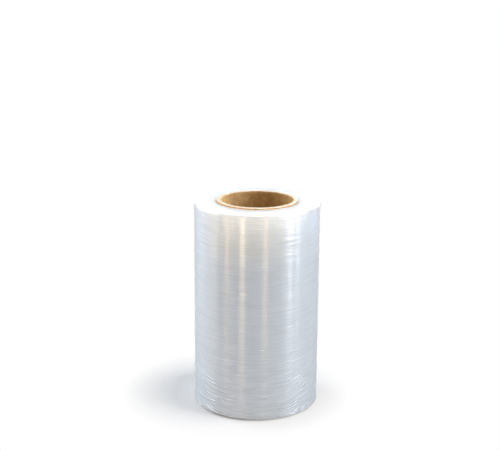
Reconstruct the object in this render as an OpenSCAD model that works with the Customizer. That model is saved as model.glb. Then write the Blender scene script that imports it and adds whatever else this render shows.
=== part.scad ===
// Stretch wrap roll, standing on its core: clear film wound on a paperboard tube.
// Millimetres. The axis of the roll is Z, and the floor it stands on is Z = 0.

/* [Core] */
// Bore of the paperboard core, which takes a 3 inch mandrel
core_bore = 76.2; // [50:0.1:100]
// Wall of the core, with all its glued plies
core_wall = 5; // [3:0.5:8]
// How far the core stands above the outermost turns of film
core_head = 2.8; // [1:0.1:20]
// How far the core stands below the outermost turns, which it holds off the floor
core_foot = 1.2; // [0.9:0.1:20]
// Bevel on every edge of the core's two sawn ends
core_bevel = 0.5; // [0.2:0.1:1.2]

/* [Ply seam] */
// Width of the paper strip that winds round to make the innermost ply
ply_strip = 120; // [70:1:150]
// Thickness of one ply, and so the depth of its open seam
ply_thick = 0.4; // [0.2:0.05:0.8]
// Gap left between neighbouring edges of the strip
seam_gap = 0.8; // [0.4:0.1:2]

/* [Film] */
// Build-up of film on the core: the thickness of all its turns
film_build = 23.4; // [12:0.1:120]
// Width of the film, measured along the core
film_w = 217.5; // [100:0.5:600]
// Rounding of the outermost turns over each end of the roll
film_round = 1.4; // [0.6:0.1:3]

/* [Turns] */
// How far the innermost turns have crept up past the outermost, which cones both ends alike
turn_creep = 1.4; // [0:0.1:5]
// Build-up of one band of turns, as seen on the ends of the roll
band_build = 1.6; // [1:0.1:5]
// Furthest that a band stands back from the end, where the web wandered as it was wound
band_stagger = 0.35; // [0.1:0.05:1.5]
// Width of the slope from one band to the next
band_slope = 0.4; // [0.1:0.05:0.8]
// Spacing of the gauge bands, the faint hoops that thick and thin film builds up
hoop_pitch = 7; // [5:0.5:30]
// Furthest that the film lies below its full diameter between two hoops
hoop_depth = 0.3; // [0.1:0.05:1]

/* [Hidden] */

// Core
bore_r = core_bore / 2;
core_r = bore_r + core_wall;
core_len = core_foot + film_w + core_head;

// Ply seam: the strip lies at the angle whose sine is its width over one turn's length
ply_angle = asin(ply_strip / (PI * core_bore));
ply_lead = PI * core_bore * tan(ply_angle);
seam_turn = 360 * core_len / ply_lead;
seam_slot = seam_gap / sin(ply_angle);
seam_step = 5; // degrees that the seam turns in each slice
seam_in = ply_thick; // how far the cutter reaches into the open bore

// Film
film_r = core_r + film_build;
film_low = core_foot;
film_high = core_foot + film_w;
band_count = max(1, round((film_build - film_round) / band_build));
band_step = (film_build - film_round) / band_count;
hoop_count = 2 * max(1, round((film_w - 2 * film_round) / hoop_pitch / 2));
hoop_step = (film_w - 2 * film_round) / hoop_count;
round_steps = 4; // flats in the rounding of each end
round_mesh = 160; // fragments in each turned surface

// An uneven share from 0 to 1 that never repeats: two waves whose lengths don't agree
function uneven(i, phase) = 0.5 - 0.3 * cos(137.5 * i + phase) - 0.2 * cos(61 * i + 2 * phase);

// How far band i of the end stands back from it, with the outermost band flush
function stagger(i, phase) = i == band_count - 1 ? 0 : band_stagger * uneven(i, phase);

// How far band i has crept up: all of the creep at the core and none at the outside
function creep(i) = turn_creep * (band_count - 1 - i) / max(1, band_count - 1);

// Where band i starts (side 0) and ends (side 1), with half a slope left beside each neighbour
function band_side(i, side) =
    let (at_wall = i + side == 0 || i + side == band_count)
        core_r + (i + side) * band_step + (at_wall ? 0 : (0.5 - side) * band_slope);

// The stepped end of the roll, from the core outwards: two corners for each band
function end_bands(end_z, inward, phase) = [
    for (i = [0 : band_count - 1], side = [0, 1])
        [band_side(i, side), end_z + creep(i) + inward * stagger(i, phase)]
];

// The turns rolled over at an end, as an arc about the rounding's centre
function rolled_edge(centre_z, from, to) = [
    for (k = [1 : round_steps])
        let (a = from + (to - from) * k / round_steps)
            [film_r - film_round + film_round * cos(a), centre_z + film_round * sin(a)]
];

// The hoops down the outside, with full diameter where they meet the roundings
function hoops() = [
    for (j = [hoop_count - 1 : -1 : 1])
        [film_r - hoop_depth * uneven(j, 40), film_low + film_round + j * hoop_step]
];

// A list of points from its last to its first
function reversed(points) = [for (k = [len(points) - 1 : -1 : 0]) points[k]];

// Half of the wound film's section: up at the core, then out, down and back in
film_section = concat(
    end_bands(film_high, -1, 0),
    rolled_edge(film_high - film_round, 90, 0),
    hoops(),
    [[film_r, film_low + film_round]],
    rolled_edge(film_low + film_round, 0, -90),
    reversed(end_bands(film_low, 1, 75))
);

// Half of the core's section: a wall with bevelled corners
core_section = [
    [bore_r, core_bevel],
    [bore_r + core_bevel, 0],
    [core_r - core_bevel, 0],
    [core_r, core_bevel],
    [core_r, core_len - core_bevel],
    [core_r - core_bevel, core_len],
    [bore_r + core_bevel, core_len],
    [bore_r, core_len - core_bevel]
];

// The open seam of the innermost ply, a shallow slot that winds along the bore
module ply_seam() {
    linear_extrude(height = core_len, twist = -seam_turn, slices = ceil(seam_turn / seam_step))
        translate([bore_r - seam_in, -seam_slot / 2])
            square([seam_in + ply_thick, seam_slot]);
}

module core() {
    color([0.80, 0.66, 0.47])
        difference() {
            rotate_extrude($fn = round_mesh) polygon(core_section);
            ply_seam();
        }
}

module film() {
    color([0.88, 0.91, 0.94])
        rotate_extrude($fn = round_mesh) polygon(film_section);
}

core();
film();
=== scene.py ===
# Stretch wrap roll: clear film wound on a paperboard core, standing on its end.
# Sizes in the dictionaries are millimetres, angles are degrees, and meshes are built in metres.
import math

import bpy
import numpy as np
from mathutils import Matrix, Vector


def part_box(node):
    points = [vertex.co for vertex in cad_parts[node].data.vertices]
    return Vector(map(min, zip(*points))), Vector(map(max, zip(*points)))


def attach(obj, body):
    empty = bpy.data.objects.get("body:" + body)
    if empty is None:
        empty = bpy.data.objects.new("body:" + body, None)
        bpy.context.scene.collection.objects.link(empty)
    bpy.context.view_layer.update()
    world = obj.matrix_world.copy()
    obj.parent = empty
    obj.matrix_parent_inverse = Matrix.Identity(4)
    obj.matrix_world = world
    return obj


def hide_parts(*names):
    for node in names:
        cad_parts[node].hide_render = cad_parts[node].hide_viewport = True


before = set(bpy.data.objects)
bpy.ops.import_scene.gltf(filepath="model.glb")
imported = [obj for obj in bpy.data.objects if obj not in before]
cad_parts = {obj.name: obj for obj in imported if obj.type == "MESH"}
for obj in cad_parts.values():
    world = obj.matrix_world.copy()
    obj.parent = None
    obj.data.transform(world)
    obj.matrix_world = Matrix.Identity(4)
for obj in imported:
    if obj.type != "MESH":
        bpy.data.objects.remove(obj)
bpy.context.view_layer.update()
mm = 0.001

filmLow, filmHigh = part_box("film")
coreLow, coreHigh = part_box("core")
print("frame loaded, nodes:", len(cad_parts))


# Colours and nodes

def hexColor(text):
    # an sRGB hex value such as #E4E9EE as linear red, green, blue and alpha
    values = [int(text[i:i + 2], 16) / 255 for i in (1, 3, 5)]
    return [v / 12.92 if v <= 0.04045 else ((v + 0.055) / 1.055) ** 2.4 for v in values] + [1.0]


def addNode(tree, kind, settings=None, links=None):
    # settings: node properties or input names with values; links: input name -> output socket
    node = tree.nodes.new(kind)
    for key, value in (settings or {}).items():
        if hasattr(node, str(key)):
            setattr(node, key, value)
        else:
            node.inputs[key].default_value = value
    for key, socket in (links or {}).items():
        tree.links.new(socket, node.inputs[key])
    return node


def newMaterial(name):
    material = bpy.data.materials.new(name)
    material.use_nodes = True
    tree = material.node_tree
    tree.nodes.clear()
    return material, tree, tree.nodes.new("ShaderNodeOutputMaterial")


def setStops(ramp, stops):
    # stops: place and sRGB hex value
    elements = ramp.color_ramp.elements
    while len(elements) < len(stops):
        elements.new(0.5)
    for element, (place, text) in zip(elements, stops):
        element.position = place
        element.color = hexColor(text)


# Shapes

def ringMesh(name, radius, height, angles):
    # A closed ring: row i, column j stands at radius[i, j], height[i, j] and angles[i, j]. The rows
    # run outwards over the top, down the outside, inwards below and back up the inside.
    rows, columns = radius.shape
    points = np.stack((radius * np.cos(angles), radius * np.sin(angles), height), axis=2) * mm
    i, j = np.meshgrid(np.arange(rows), np.arange(columns), indexing="ij")
    iNext, jNext = (i + 1) % rows, (j + 1) % columns
    corners = np.stack((i * columns + j, iNext * columns + j,
                        iNext * columns + jNext, i * columns + jNext), axis=2)
    mesh = bpy.data.meshes.new(name)
    mesh.from_pydata(points.reshape(-1, 3).tolist(), [], corners.reshape(-1, 4).tolist())
    mesh.polygons.foreach_set("use_smooth", np.ones(rows * columns, dtype=bool))
    mesh.update()
    piece = bpy.data.objects.new(name, mesh)
    bpy.context.scene.collection.objects.link(piece)
    return piece


def addShares(piece, name, values):
    # a value from 0 to 1 for each row and column of a ring, which its material reads by name
    piece.data.attributes.new(name, "FLOAT", "POINT").data.foreach_set("value", values.ravel())


def blendStep(x):
    # 0 below 0, 1 above 1, and a smooth S between
    x = np.clip(x, 0, 1)
    return x * x * (3 - 2 * x)


def streakNoise(seed, around, along, cellsAround, cellsAlong):
    # Uneven heights from -1 to 1: random values on a grid of cells that closes round the roll,
    # joined by smooth S curves. around and along run from 0 to 1.
    lattice = np.random.default_rng(seed).uniform(-1, 1, (cellsAlong + 2, cellsAround))
    u, v = (around % 1) * cellsAround, np.clip(along, 0, 1) * cellsAlong
    u0, v0 = np.floor(u).astype(int), np.floor(v).astype(int)
    fu, fv = blendStep(u - u0), blendStep(v - v0)
    left, right = u0 % cellsAround, (u0 + 1) % cellsAround
    low = lattice[v0, left] * (1 - fu) + lattice[v0, right] * fu
    high = lattice[v0 + 1, left] * (1 - fu) + lattice[v0 + 1, right] * fu
    return low * (1 - fv) + high * fv


def uneven(i, phase):
    # an uneven share from 0 to 1: two waves whose lengths don't agree
    long, short = np.radians(61 * i + 2 * phase), np.radians(137.5 * i + phase)
    return 0.5 - 0.3 * np.cos(short) - 0.2 * np.cos(long)


# Film

film = {
    "innerRadius": 43.1,    # the core's outside
    "outerRadius": min(filmHigh[0], filmHigh[1], -filmLow[0], -filmLow[1]) / mm,
    "bottom": filmLow[2] / mm,
    "top": 218.7,           # of the outermost turns
    "edgeRound": 1.4,       # the outermost turns, rolled over each end
    "bandCount": 14,        # bands of turns seen on each end
    "bandStagger": 0.35,
    "bandSlope": 0.4,
    "turnCreep": 1.4,       # how far the innermost turns have crept up past the outermost
    "hoopPitch": 7.16,      # gauge bands down the outside
    "hoopDepth": 0.3,
    "phases": (0, 75, 40),  # of the bands above, the bands below and the hoops
    "columns": 180,
    "sideRows": 420,
    "roundRows": 6,         # in each rolled edge
    "slopeRows": (-0.5, -0.17, 0.17, 0.5),  # across each slope between two bands
    "innerRows": 4,
    "innerMargin": 0.6,     # from those rows to the innermost turns' ends
    "ridgeEdge": (-0.4, 0.6),   # shares of the rolled edge at which the ridges set in, and are in full
    "whiteEdge": (0.25, 0.75),  # shares of it over which the ends' white gives way to the outside
    # the painted glow below the upper end: a paler colour that stands in for light coming in at the end
    # and spreading down the turns
    "paintedGlowDepth": 20.0,      # painted glow: how far down the side the paler colour reaches, in place of light that enters the upper end
    "paintedGlowShare": 0.16,
    "settle": 0.13,         # how far the ridges' middle lies below the full radius
    "ridgeSeed": 3,
    # winding ridges: height, cells round the roll and cells along it
    "ridges": [(0.050, 5, 20), (0.030, 11, 84), (0.020, 24, 120), (0.010, 17, 190)],
    # packets of creases: azimuth from the front, height of the middle, length, width, depth, and
    # rise per length
    "creases": [
        (-62, 66, 24, 2.6, 0.07, -0.30), (-54, 50, 26, 2.8, 0.09, -0.34),
        (-57, 34, 30, 2.6, 0.10, -0.26), (-49, 24, 22, 2.0, 0.10, -0.30),
        (-52, 12, 30, 2.6, 0.08, -0.20), (-40, 76, 36, 1.6, 0.05, -0.30),
        (34, 70, 22, 2.6, 0.08, 0.28), (31, 58, 20, 2.4, 0.09, 0.34),
        (33, 36, 24, 3.0, 0.12, 0.22), (37, 26, 26, 2.6, 0.10, 0.26),
        (28, 11, 30, 2.6, 0.10, 0.16), (50, 46, 36, 2.0, 0.06, 0.26),
        (4, 22, 20, 2.0, 0.05, 0.06), (-14, 36, 14, 1.6, 0.05, -0.04),
        (96, 52, 32, 2.6, 0.08, 0.2), (121, 30, 28, 2.6, 0.10, -0.3),
        (150, 60, 30, 2.4, 0.08, 0.3), (172, 22, 28, 2.8, 0.10, 0.2),
        (-168, 44, 34, 2.4, 0.08, -0.26), (-140, 28, 24, 2.6, 0.10, 0.3),
        (-112, 56, 30, 2.4, 0.08, -0.24), (-96, 18, 28, 2.8, 0.10, -0.18)],
    "creasePitch": 2.7,
}


def filmProfile(f):
    # Half of the section, as a radius and a height for each row of the ring.
    wall = f["outerRadius"] - f["edgeRound"]
    bandStep = (wall - f["innerRadius"]) / f["bandCount"]
    lastBand = f["bandCount"] - 1
    upperPhase, lowerPhase, hoopPhase = f["phases"]

    def endFace(radius, inward, phase):
        # height above the outermost turns' end: flat bands, each with its own creep and stagger,
        # joined by short slopes
        place = (radius - f["innerRadius"]) / bandStep
        band = np.clip(np.floor(place - 0.5), -1, lastBand)
        slope = blendStep((place - band - 1) * bandStep / f["bandSlope"] + 0.5)
        stand = []
        for b in (np.clip(band, 0, None), np.clip(band + 1, None, lastBand)):
            stagger = np.where(b == lastBand, 0, f["bandStagger"] * uneven(b, phase))
            stand.append(f["turnCreep"] * (lastBand - b) / lastBand - inward * stagger)
        return stand[0] * (1 - slope) + stand[1] * slope

    slopes = f["innerRadius"] + bandStep * np.arange(1, f["bandCount"])
    slopes = (slopes[:, None] + f["bandSlope"] * np.array(f["slopeRows"])).ravel()
    radius = np.concatenate(([f["innerRadius"]], slopes, [wall]))
    upperTurn = np.linspace(0, math.pi / 2, f["roundRows"] + 1)[1:]
    lowerTurn = upperTurn - upperTurn[0]

    # the outside dips smoothly from hoop to hoop, with full radius at both ends
    side = np.linspace(1, 0, f["sideRows"])
    sideZ = f["bottom"] + f["edgeRound"] + side * (f["top"] - f["bottom"] - 2 * f["edgeRound"])
    hoopCount = round((sideZ[0] - sideZ[-1]) / f["hoopPitch"])
    place = side * hoopCount
    hoop = np.floor(place)
    dip = [np.where((h <= 0) | (h >= hoopCount), 0, uneven(h, hoopPhase)) for h in (hoop, hoop + 1)]
    hoopDip = f["hoopDepth"] * (dip[0] + (dip[1] - dip[0]) * blendStep(place - hoop))
    innerLow = f["bottom"] + f["turnCreep"] + f["innerMargin"]
    innerHigh = f["top"] + f["turnCreep"] - f["innerMargin"]

    r = np.concatenate((
        radius,
        wall + f["edgeRound"] * np.sin(upperTurn),
        f["outerRadius"] - hoopDip[1:-1],
        wall + f["edgeRound"] * np.cos(lowerTurn),
        radius[::-1],
        np.full(f["innerRows"], f["innerRadius"])))
    z = np.concatenate((
        f["top"] + endFace(radius, 1, upperPhase),
        f["top"] - f["edgeRound"] * (1 - np.cos(upperTurn)),
        sideZ[1:-1],
        f["bottom"] + f["edgeRound"] * (1 - np.sin(lowerTurn)),
        f["bottom"] + endFace(radius, -1, lowerPhase)[::-1],
        np.linspace(innerLow, innerHigh, f["innerRows"])))
    return r, z


def makeFilm(f):
    # The profile turned about the axis. Ridges and creases then sink its outside, and never raise it
    # past the profile.
    r, z = filmProfile(f)
    angle = np.arange(f["columns"]) * 2 * math.pi / f["columns"]
    radius, angles = np.meshgrid(r, angle, indexing="ij")
    height = np.repeat(z[:, None], f["columns"], axis=1)
    around, along = angles / (2 * math.pi), (height - f["bottom"]) / (f["top"] - f["bottom"])
    ridges = sum(ridge * streakNoise(f["ridgeSeed"] + k, around, along, cells, rowCells)
                 for k, (ridge, cells, rowCells) in enumerate(f["ridges"]))
    for azimuth, middle, length, width, depth, rise in f["creases"]:
        # slanting furrows: along them, (1 - t squared) squared; across them, a wave under a bell curve
        turn = (angles - math.radians(azimuth - 90) + math.pi) % (2 * math.pi) - math.pi
        u = turn * f["outerRadius"]
        v = height - middle - rise * u
        swell = np.clip(1 - (2 * u / length) ** 2, 0, None) ** 2
        wave = np.exp(-(v / width) ** 2) * np.cos(2 * math.pi * v / f["creasePitch"])
        ridges -= depth * swell * wave

    # 0 where the rolled edge begins, and 1 at the full radius
    edge = (radius - f["outerRadius"] + f["edgeRound"]) / f["edgeRound"]
    start, full = f["ridgeEdge"]
    side = blendStep((edge - start) / (full - start))
    start, full = f["whiteEdge"]
    ends = 1 - blendStep((edge - start) / (full - start))
    # painted glow: the upper half's colour share grows towards the upper end, in place of light that
    # comes in through the end
    upperHalf = height > (f["bottom"] + f["top"]) / 2
    endsAndPaintedGlow = upperHalf * f["paintedGlowShare"] * np.exp((height - f["top"]) / f["paintedGlowDepth"])
    radius = radius - side * (f["settle"] - np.minimum(ridges, f["settle"]))
    piece = ringMesh("wound_film", radius, height, angles)
    addShares(piece, "ends", ends)
    # the white ends and the painted glow below the upper end go in one share
    addShares(piece, "endsAndPaintedGlow", np.maximum(ends, endsAndPaintedGlow))
    return piece


filmPiece = makeFilm(film)
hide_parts("film")
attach(filmPiece, "root")
print("film made")


# Core

core = {
    "boreRadius": 38.1,
    "outerRadius": 43.1,
    "bottom": coreLow[2] / mm,
    "top": coreHigh[2] / mm,
    "bevel": 0.5,
    "seamTurn": 574.9,      # degrees that the ply seam winds from the lower end to the upper
    "seamWidth": 1.6,       # measured round the bore
    "seamDepth": 0.4,
    "seamEdges": (0.94, 1.06, 1.25),    # columns each side of its middle, in halves of its width
    "plies": 12,
    "plyRelief": 0.05,
    "sawnDepth": 0.3,       # how far down from each end the sawn finish reaches
    "columns": 120,
    "columnStart": 2.5,     # where the even columns begin, in halves of the seam's width
    "boreRows": 150,
    "outsideRows": 70,
}


def makeCore(c):
    # A tube. The bore's columns wind with the ply seam, and the seam's walls have columns of their own.
    half = 360 * c["seamWidth"] / 2 / (2 * math.pi * c["boreRadius"])
    edges = np.array(c["seamEdges"])
    seamColumns = half * np.concatenate((-edges[::-1], [0], edges))
    start = half * c["columnStart"]
    evenColumns = np.linspace(start, 360 - start, c["columns"] - seamColumns.size)
    column = np.concatenate((seamColumns, evenColumns))
    inSeam = np.abs(column) < half

    # Rows: the upper end from the bore outwards, down the outside, the lower end, up the bore. On the
    # ends every other row lies deeper, between two plies.
    share = np.linspace(0, 1, 2 * c["plies"] + 1)
    ringR = c["boreRadius"] + c["bevel"] + share * (c["outerRadius"] - c["boreRadius"] - 2 * c["bevel"])
    relief = c["plyRelief"] * (np.arange(share.size) % 2)
    down = np.linspace(c["top"] - c["bevel"], c["bottom"] + c["bevel"], c["outsideRows"])
    rise = np.linspace(c["bottom"] + c["bevel"], c["top"] - c["bevel"], c["boreRows"])
    r = np.concatenate((ringR, np.full(down.size, c["outerRadius"]),
                        ringR[::-1], np.full(rise.size, c["boreRadius"])))
    z = np.concatenate((c["top"] - relief, down, c["bottom"] + relief[::-1], rise))
    inBore = np.arange(r.size) >= r.size - rise.size

    # The outside winds on to a whole number of turns, so that both ends meet the bore's columns
    wholeTurns = 360 * round(c["seamTurn"] / 360)
    turn = np.concatenate((
        np.full(share.size, c["seamTurn"]),
        wholeTurns + (c["seamTurn"] - wholeTurns) * np.linspace(1, 0, down.size),
        np.zeros(share.size),
        c["seamTurn"] * (rise - c["bottom"]) / (c["top"] - c["bottom"])))

    angles = np.radians(turn[:, None] + column[None, :])
    radius = r[:, None] + c["seamDepth"] * (inBore[:, None] & inSeam[None, :])
    height = np.repeat(z[:, None], column.size, axis=1)
    piece = ringMesh("core_tube", radius, height, angles)
    sawn = (height > c["top"] - c["sawnDepth"]) | (height < c["bottom"] + c["sawnDepth"])
    addShares(piece, "ends", sawn.astype(float))
    return piece


corePiece = makeCore(core)
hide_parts("core")
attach(corePiece, "root")
print("core made")


# Camera: fitted to the edges of the roll in the photograph

camera = {
    "focal": 1072.94,       # pixels
    "pictureWidth": 500,    # pixels
    "sensor": 36,
    "distance": 1150.53,
    "pitch": 14.457,        # looking down
    "roll": -0.347,
    "aimHeight": 110.0,
    "right": 7.351,         # how far the roll lies right of and above the line of sight
    "up": -80.632,
    "farthest": 100000,
}


def makeCamera(c):
    pitch, roll = math.radians(c["pitch"]), math.radians(c["roll"])
    right = Vector((1, 0, 0))
    up = Vector((0, math.sin(pitch), math.cos(pitch)))
    ahead = Vector((0, math.cos(pitch), -math.sin(pitch)))
    aim = Vector((0, 0, c["aimHeight"]))
    place = aim - c["right"] * right - c["up"] * up - c["distance"] * ahead
    xAxis = math.cos(roll) * right - math.sin(roll) * up
    yAxis = math.sin(roll) * right + math.cos(roll) * up
    turned = Matrix((xAxis, yAxis, -ahead)).transposed().to_4x4()
    data = bpy.data.cameras.new("camera")
    data.sensor_fit = "HORIZONTAL"
    data.sensor_width = c["sensor"]
    data.lens = c["focal"] / c["pictureWidth"] * c["sensor"]
    data.clip_end = c["farthest"] * mm
    item = bpy.data.objects.new("camera", data)
    item.matrix_world = Matrix.Translation(place * mm) @ turned
    bpy.context.scene.collection.objects.link(item)
    bpy.context.scene.camera = item


makeCamera(camera)
print("camera set")


# Film material

filmFinish = {
    # fine winding lines: size round the roll, size across the line, height, and slant. Real ones are
    # finer still, and these are as coarse as they need to be to show.
    "lines": [
        (120, 2.2, 0.10, (0.02, 0.01)),
        (70, 1.4, 0.19, (-0.03, -0.05)),
        (45, 0.95, 0.13, (0.05, -0.04)),
    ],
    "puckers": (22, 2.0, 0.27, (-0.12, -0.36)),     # the same, for the sparse puckers near the foot
    "puckerNoise": (0.54, 0.67),    # the noise at which a pucker begins, and is in full
    "puckerHeights": (95, 30),      # from where down they begin, and are in full
    "haze": (24, 1.0, (-0.02, -0.08)),  # milky lines of trapped air: the two sizes and the slant
    "hazeNoise": (0.35, 0.65),
    "hazeShares": (0.955, 1.045),   # shares of the colour at those two
    "colors": (                     # by the share of white ends and painted glow: the plain outside at the low end, a paler and warmer painted glow in the middle, and the white ends at 1
        (0.07, "#BDC6CF"), (0.22, "#C6C9CA"), (0.36, "#CCCFCF"), (0.62, "#D9DCDD"), (1.0, "#F4F6F7")),
    "metallic": (0.25, 0.0),        # on the outside and on the ends
    "roughness": (0.22, 0.5),
    "scatter": 20,                  # how far light spreads among the turns
}


def filmMaterial(f):
    # Linear low density polyethylene, cast and wound: clear in one turn, milky in hundreds. Many
    # clear layers reflect together like a stack of glass plates, so it has some metallic, and the
    # ridges round the roll draw each reflection out along it. The cut edges of the turns scatter
    # light, so the ends are white. A little of the outside below the upper end is painted paler, a
    # painted glow in place of light that enters the end.
    material, tree, output = newMaterial("LLDPE stretch film, wound clear")
    place = addNode(tree, "ShaderNodeTexCoord").outputs["Object"]
    x, y, z = addNode(tree, "ShaderNodeSeparateXYZ", links={0: place}).outputs
    flat = addNode(tree, "ShaderNodeCombineXYZ", links={0: x, 1: y}).outputs[0]
    reach = addNode(tree, "ShaderNodeVectorMath", {"operation": "LENGTH"}, {0: flat}).outputs["Value"]
    # on the ends the lines have to run round too, so they go by height less radius
    climb = addNode(tree, "ShaderNodeMath", {"operation": "SUBTRACT"}, {0: z, 1: reach}).outputs[0]
    rings = addNode(tree, "ShaderNodeCombineXYZ", links={0: x, 1: y, 2: climb}).outputs[0]

    def lineNoise(around, across, slant):
        # noise from 0 to 1, stretched round the roll, with its lines at a slant
        lean = addNode(tree, "ShaderNodeVectorMath", {
            "operation": "DOT_PRODUCT", 1: (slant[0], slant[1], 1.0)}, {0: rings}).outputs["Value"]
        leant = addNode(tree, "ShaderNodeCombineXYZ", links={0: x, 1: y, 2: lean}).outputs[0]
        cells = (1000 / around, 1000 / around, 1000 / across)   # in a metre
        spot = addNode(tree, "ShaderNodeMapping", {"Scale": cells}, {"Vector": leant}).outputs[0]
        return addNode(tree, "ShaderNodeTexNoise", {"Scale": 1.0, "Detail": 1.0},
                       {"Vector": spot}).outputs[0]

    # bump: the puckers first, and the winding lines over them
    around, across, height, slant = f["puckers"]
    begin, full = f["puckerNoise"]
    sparse = addNode(tree, "ShaderNodeMapRange", {
        "interpolation_type": "SMOOTHSTEP", "From Min": begin, "From Max": full},
        {"Value": lineNoise(around, across, slant)}).outputs[0]
    begin, full = f["puckerHeights"]
    low = addNode(tree, "ShaderNodeMapRange", {"From Min": begin * mm, "From Max": full * mm},
                  {"Value": z}).outputs[0]
    pucker = addNode(tree, "ShaderNodeMath", {"operation": "MULTIPLY"}, {0: sparse, 1: low}).outputs[0]
    bump = addNode(tree, "ShaderNodeBump", {"Strength": 1.0, "Distance": height * mm},
                   {"Height": pucker}).outputs[0]
    for around, across, height, slant in f["lines"]:
        bump = addNode(tree, "ShaderNodeBump", {"Strength": 1.0, "Distance": height * mm},
                       {"Height": lineNoise(around, across, slant), "Normal": bump}).outputs[0]
    tangent = addNode(tree, "ShaderNodeTangent", {"direction_type": "RADIAL", "axis": "Z"}).outputs[0]

    # colour and finish, by the shares that the mesh carries; the glow share paints a paler, warmer glow
    # below the upper end, in place of light that comes through it
    ends = addNode(tree, "ShaderNodeAttribute", {"attribute_name": "ends"}).outputs["Fac"]
    endsAndPaintedGlow = addNode(tree, "ShaderNodeAttribute", {"attribute_name": "endsAndPaintedGlow"}).outputs["Fac"]
    color = addNode(tree, "ShaderNodeValToRGB", links={0: endsAndPaintedGlow})
    setStops(color, f["colors"])
    around, across, slant = f["haze"]
    haze = addNode(tree, "ShaderNodeMapRange", {
        "From Min": f["hazeNoise"][0], "From Max": f["hazeNoise"][1],
        "To Min": f["hazeShares"][0], "To Max": f["hazeShares"][1]},
        {"Value": lineNoise(around, across, slant)}).outputs[0]
    milky = addNode(tree, "ShaderNodeVectorMath", {"operation": "SCALE"},
                    {0: color.outputs[0], "Scale": haze}).outputs[0]
    metallic, roughness = [
        addNode(tree, "ShaderNodeMapRange", {"To Min": outside, "To Max": end},
                {"Value": ends}).outputs[0]
        for outside, end in (f["metallic"], f["roughness"])]
    shader = addNode(tree, "ShaderNodeBsdfPrincipled", {
        "IOR": 1.5, "Anisotropic": 1.0, "Anisotropic Rotation": 0.25,
        "Specular Tint": hexColor("#8C8C8C"), "Subsurface Weight": 0.6,
        "Subsurface Radius": (1.0, 1.0, 1.0), "Subsurface Scale": f["scatter"] * mm},
        {"Base Color": milky, "Metallic": metallic, "Roughness": roughness,
         "Normal": bump, "Tangent": tangent})
    tree.links.new(shader.outputs[0], output.inputs[0])
    return material


filmPiece.data.materials.append(filmMaterial(filmFinish))


# Core material

boardFinish = {
    "mottleCells": 260.0,   # in a metre: cloudy patches of paper 3.8 mm across
    "fibreCells": 900.0,    # clumps of fibres 1.1 mm across, as single ones would be too fine to show
    "fibreHeight": 0.12,
    "wall": ((0.3, "#AA8450"), (0.7, "#CCA46C")),
    "sawn": ((0.3, "#E8D8BD"), (0.7, "#F8F0E0")),
}


def boardMaterial(f):
    # Kraft paperboard, spiral wound from unbleached paper: a matt brown, mottled by its fibres, and
    # paler where the saw has cut through the plies.
    material, tree, output = newMaterial("kraft paperboard, spiral wound")
    place = addNode(tree, "ShaderNodeTexCoord").outputs["Object"]
    mottle = addNode(tree, "ShaderNodeTexNoise", {
        "Scale": f["mottleCells"], "Detail": 4.0, "Roughness": 0.6}, {"Vector": place}).outputs[0]
    fibre = addNode(tree, "ShaderNodeTexNoise", {
        "Scale": f["fibreCells"], "Detail": 2.0}, {"Vector": place}).outputs[0]
    ends = addNode(tree, "ShaderNodeAttribute", {"attribute_name": "ends"}).outputs["Fac"]
    wall = addNode(tree, "ShaderNodeValToRGB", links={0: mottle})
    setStops(wall, f["wall"])
    sawn = addNode(tree, "ShaderNodeValToRGB", links={0: mottle})
    setStops(sawn, f["sawn"])
    color = addNode(tree, "ShaderNodeMix", {"data_type": "RGBA"},
                    {0: ends, 6: wall.outputs[0], 7: sawn.outputs[0]}).outputs[2]
    bump = addNode(tree, "ShaderNodeBump", {"Strength": 1.0, "Distance": f["fibreHeight"] * mm},
                   {"Height": fibre}).outputs[0]
    shader = addNode(tree, "ShaderNodeBsdfPrincipled", {
        "Roughness": 0.85, "IOR": 1.45, "Specular IOR Level": 0.15},
        {"Base Color": color, "Normal": bump})
    tree.links.new(shader.outputs[0], output.inputs[0])
    return material


corePiece.data.materials.append(boardMaterial(boardFinish))
print("materials made")


# Light and floor

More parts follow.
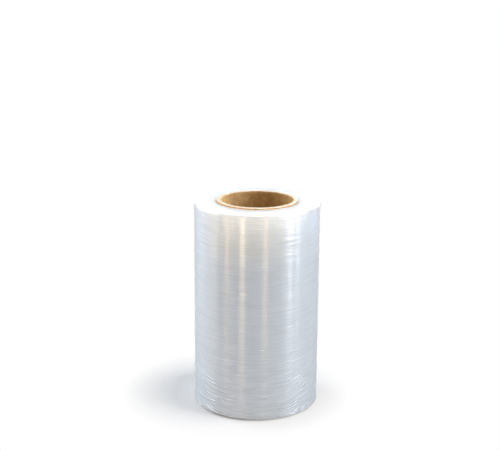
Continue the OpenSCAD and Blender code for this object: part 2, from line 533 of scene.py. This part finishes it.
floorPaper = {
    "halfWidth": 20000,
    "color": "#E8E8E8",
    "shadeMiddle": (-22, 15, 0),    # round here the paper is grey and shows light and shade; set off to the left of the foot, its grey is also a painted shade there
    "shadeEdge": (68, 125),         # how far from there plain white sets in, and is in full
}
worldStrength = 0.2
lamps = {
    # The strips stand where the streaks in the photograph put them. The other places, and the sizes,
    # were set one by one. Most powers and colours came from a least-squares fit to the photograph, and
    # were then rounded and set one by one.
    # name: (azimuth, elevation, distance, width, height, power, colour, height of aim, spread)
    "overheadRight": (80, 48, 1500, 900, 900, 11.2, "#FFFCFC"),
    "broadLeft": (-120, 22, 1500, 800, 1100, 20.0, "#E4F2FF"),
    "fillLeft": (-87, 22, 1500, 650, 1100, 5.9, "#FFEEDF"),
    "fillWarm": (-50, 22, 1500, 600, 1100, 2.85, "#FFF3E8"),
    "stripPink": (-53.6, 0, 1500, 170, 300, 0.8, "#FFBA80", 150),
    "stripWarm": (-24.9, 0, 1500, 250, 300, 2.45, "#FFDDB8", 150),
    "stripFaint": (14.2, 0, 1500, 220, 300, 1.5, "#FFDAA4", 150),
    "broadRight": (75, 22, 1500, 1330, 1100, 9.2, "#FBF9FB"),
    "stripRight": (60.6, 0, 1500, 220, 300, 1.55, "#FFFAF4", 150),
    "stripRightFar": (76, 0, 1500, 130, 300, 0.85, "#FFFFFF", 150),
    "rimLeft": (-160, 22, 1500, 250, 1100, 0.3, "#EEF5FF"),
    "boreRight": (84, 20, 1000, 120, 120, 0.034, "#CDE5FF", 240, 8),
    "rimGlow": (-1, 0, 1000, 86, 14, 0.0033, "#FFF4E2", 214, 2.6),
    "coreGlow": (-8, 0, 1000, 100, 40, 0.0046, "#FFCC6C", 199, 3.4),
    "glintLeft": (-95, 26, 1500, 900, 300, 11.0, "#FFFFFF", 50),
    "glintRight": (68, 26, 1500, 900, 300, 10.5, "#FFFFFF", 50),
}


def seenRay(tree):
    # 1 for rays from the camera, straight or by way of gloss or glass
    path = addNode(tree, "ShaderNodeLightPath")
    rays = [path.outputs["Is " + kind + " Ray"] for kind in ("Camera", "Glossy", "Transmission")]
    some = addNode(tree, "ShaderNodeMath", {"operation": "MAXIMUM"}, {0: rays[0], 1: rays[1]}).outputs[0]
    return addNode(tree, "ShaderNodeMath", {"operation": "MAXIMUM"}, {0: some, 1: rays[2]}).outputs[0]


def makeFloor(f):
    # A large sheet of pale paper, which takes the roll's shade near its foot and is plain white
    # to the eye further out. The grey part is set off to the left of the foot, so part of the shade
    # there is painted shade.
    mesh = bpy.data.meshes.new("floor")
    s = f["halfWidth"] * mm
    mesh.from_pydata([(-s, -s, 0), (s, -s, 0), (s, s, 0), (-s, s, 0)], [], [(0, 1, 2, 3)])
    floor = bpy.data.objects.new("floor", mesh)
    bpy.context.scene.collection.objects.link(floor)
    material, tree, output = newMaterial("white floor paper")
    paper = addNode(tree, "ShaderNodeBsdfDiffuse", {"Color": hexColor(f["color"])}).outputs[0]
    white = addNode(tree, "ShaderNodeEmission", {"Color": (1, 1, 1, 1), "Strength": 1.0}).outputs[0]
    place = addNode(tree, "ShaderNodeTexCoord").outputs["Object"]
    middle = [value * mm for value in f["shadeMiddle"]]
    far = addNode(tree, "ShaderNodeVectorMath", {"operation": "DISTANCE", 1: middle}, {0: place})
    begin, full = f["shadeEdge"]
    share = addNode(tree, "ShaderNodeMapRange", {"From Min": begin * mm, "From Max": full * mm},
                    {"Value": far.outputs["Value"]}).outputs[0]
    seen = addNode(tree, "ShaderNodeMath", {"operation": "MULTIPLY"},
                   {0: seenRay(tree), 1: share}).outputs[0]
    mix = addNode(tree, "ShaderNodeMixShader", links={0: seen, 1: paper, 2: white})
    tree.links.new(mix.outputs[0], output.inputs[0])
    mesh.materials.append(material)


def makeWorld(strength):
    # even light at this strength, and plain white to the eye
    world = bpy.data.worlds.new("studio")
    bpy.context.scene.world = world
    world.use_nodes = True
    tree = world.node_tree
    tree.nodes.clear()
    light, white = [
        addNode(tree, "ShaderNodeBackground", {"Color": (1, 1, 1, 1), "Strength": value}).outputs[0]
        for value in (strength, 1.0)]
    mix = addNode(tree, "ShaderNodeMixShader", links={0: seenRay(tree), 1: light, 2: white})
    addNode(tree, "ShaderNodeOutputWorld", links={0: mix.outputs[0]})


def makeLamp(name, azimuth, elevation, distance, width, height, power, color,
             aimHeight=110, spread=180):
    # azimuth 0 stands on the camera's side and 90 on the right; the lamp faces the roll
    a, e = math.radians(azimuth), math.radians(elevation)
    aim = Vector((0, 0, aimHeight * mm))
    away = Vector((math.sin(a) * math.cos(e), -math.cos(a) * math.cos(e), math.sin(e)))
    turned = away.to_track_quat("Z", "Y").to_matrix().to_4x4()
    data = bpy.data.lights.new(name, "AREA")
    data.shape = "RECTANGLE"
    data.size = width * mm
    data.size_y = height * mm
    data.energy = power
    data.spread = math.radians(spread)
    data.color = hexColor(color)[:3]
    lamp = bpy.data.objects.new(name, data)
    lamp.matrix_world = Matrix.Translation(aim + away * distance * mm) @ turned
    lamp.visible_camera = False
    bpy.context.scene.collection.objects.link(lamp)
    return lamp


makeFloor(floorPaper)
makeWorld(worldStrength)
for name, facts in lamps.items():
    lamp = makeLamp(name, *facts)
    if name in ("rimGlow", "coreGlow"):
        lamp.visible_glossy = False         # they only light the milky turns under the rim
    if name in ("glintLeft", "glintRight"):
        lamp.visible_diffuse = False        # they only glint, most of all in the puckers
print("lamps and floor made")

view = bpy.context.scene.view_settings
view.view_transform = "Standard"
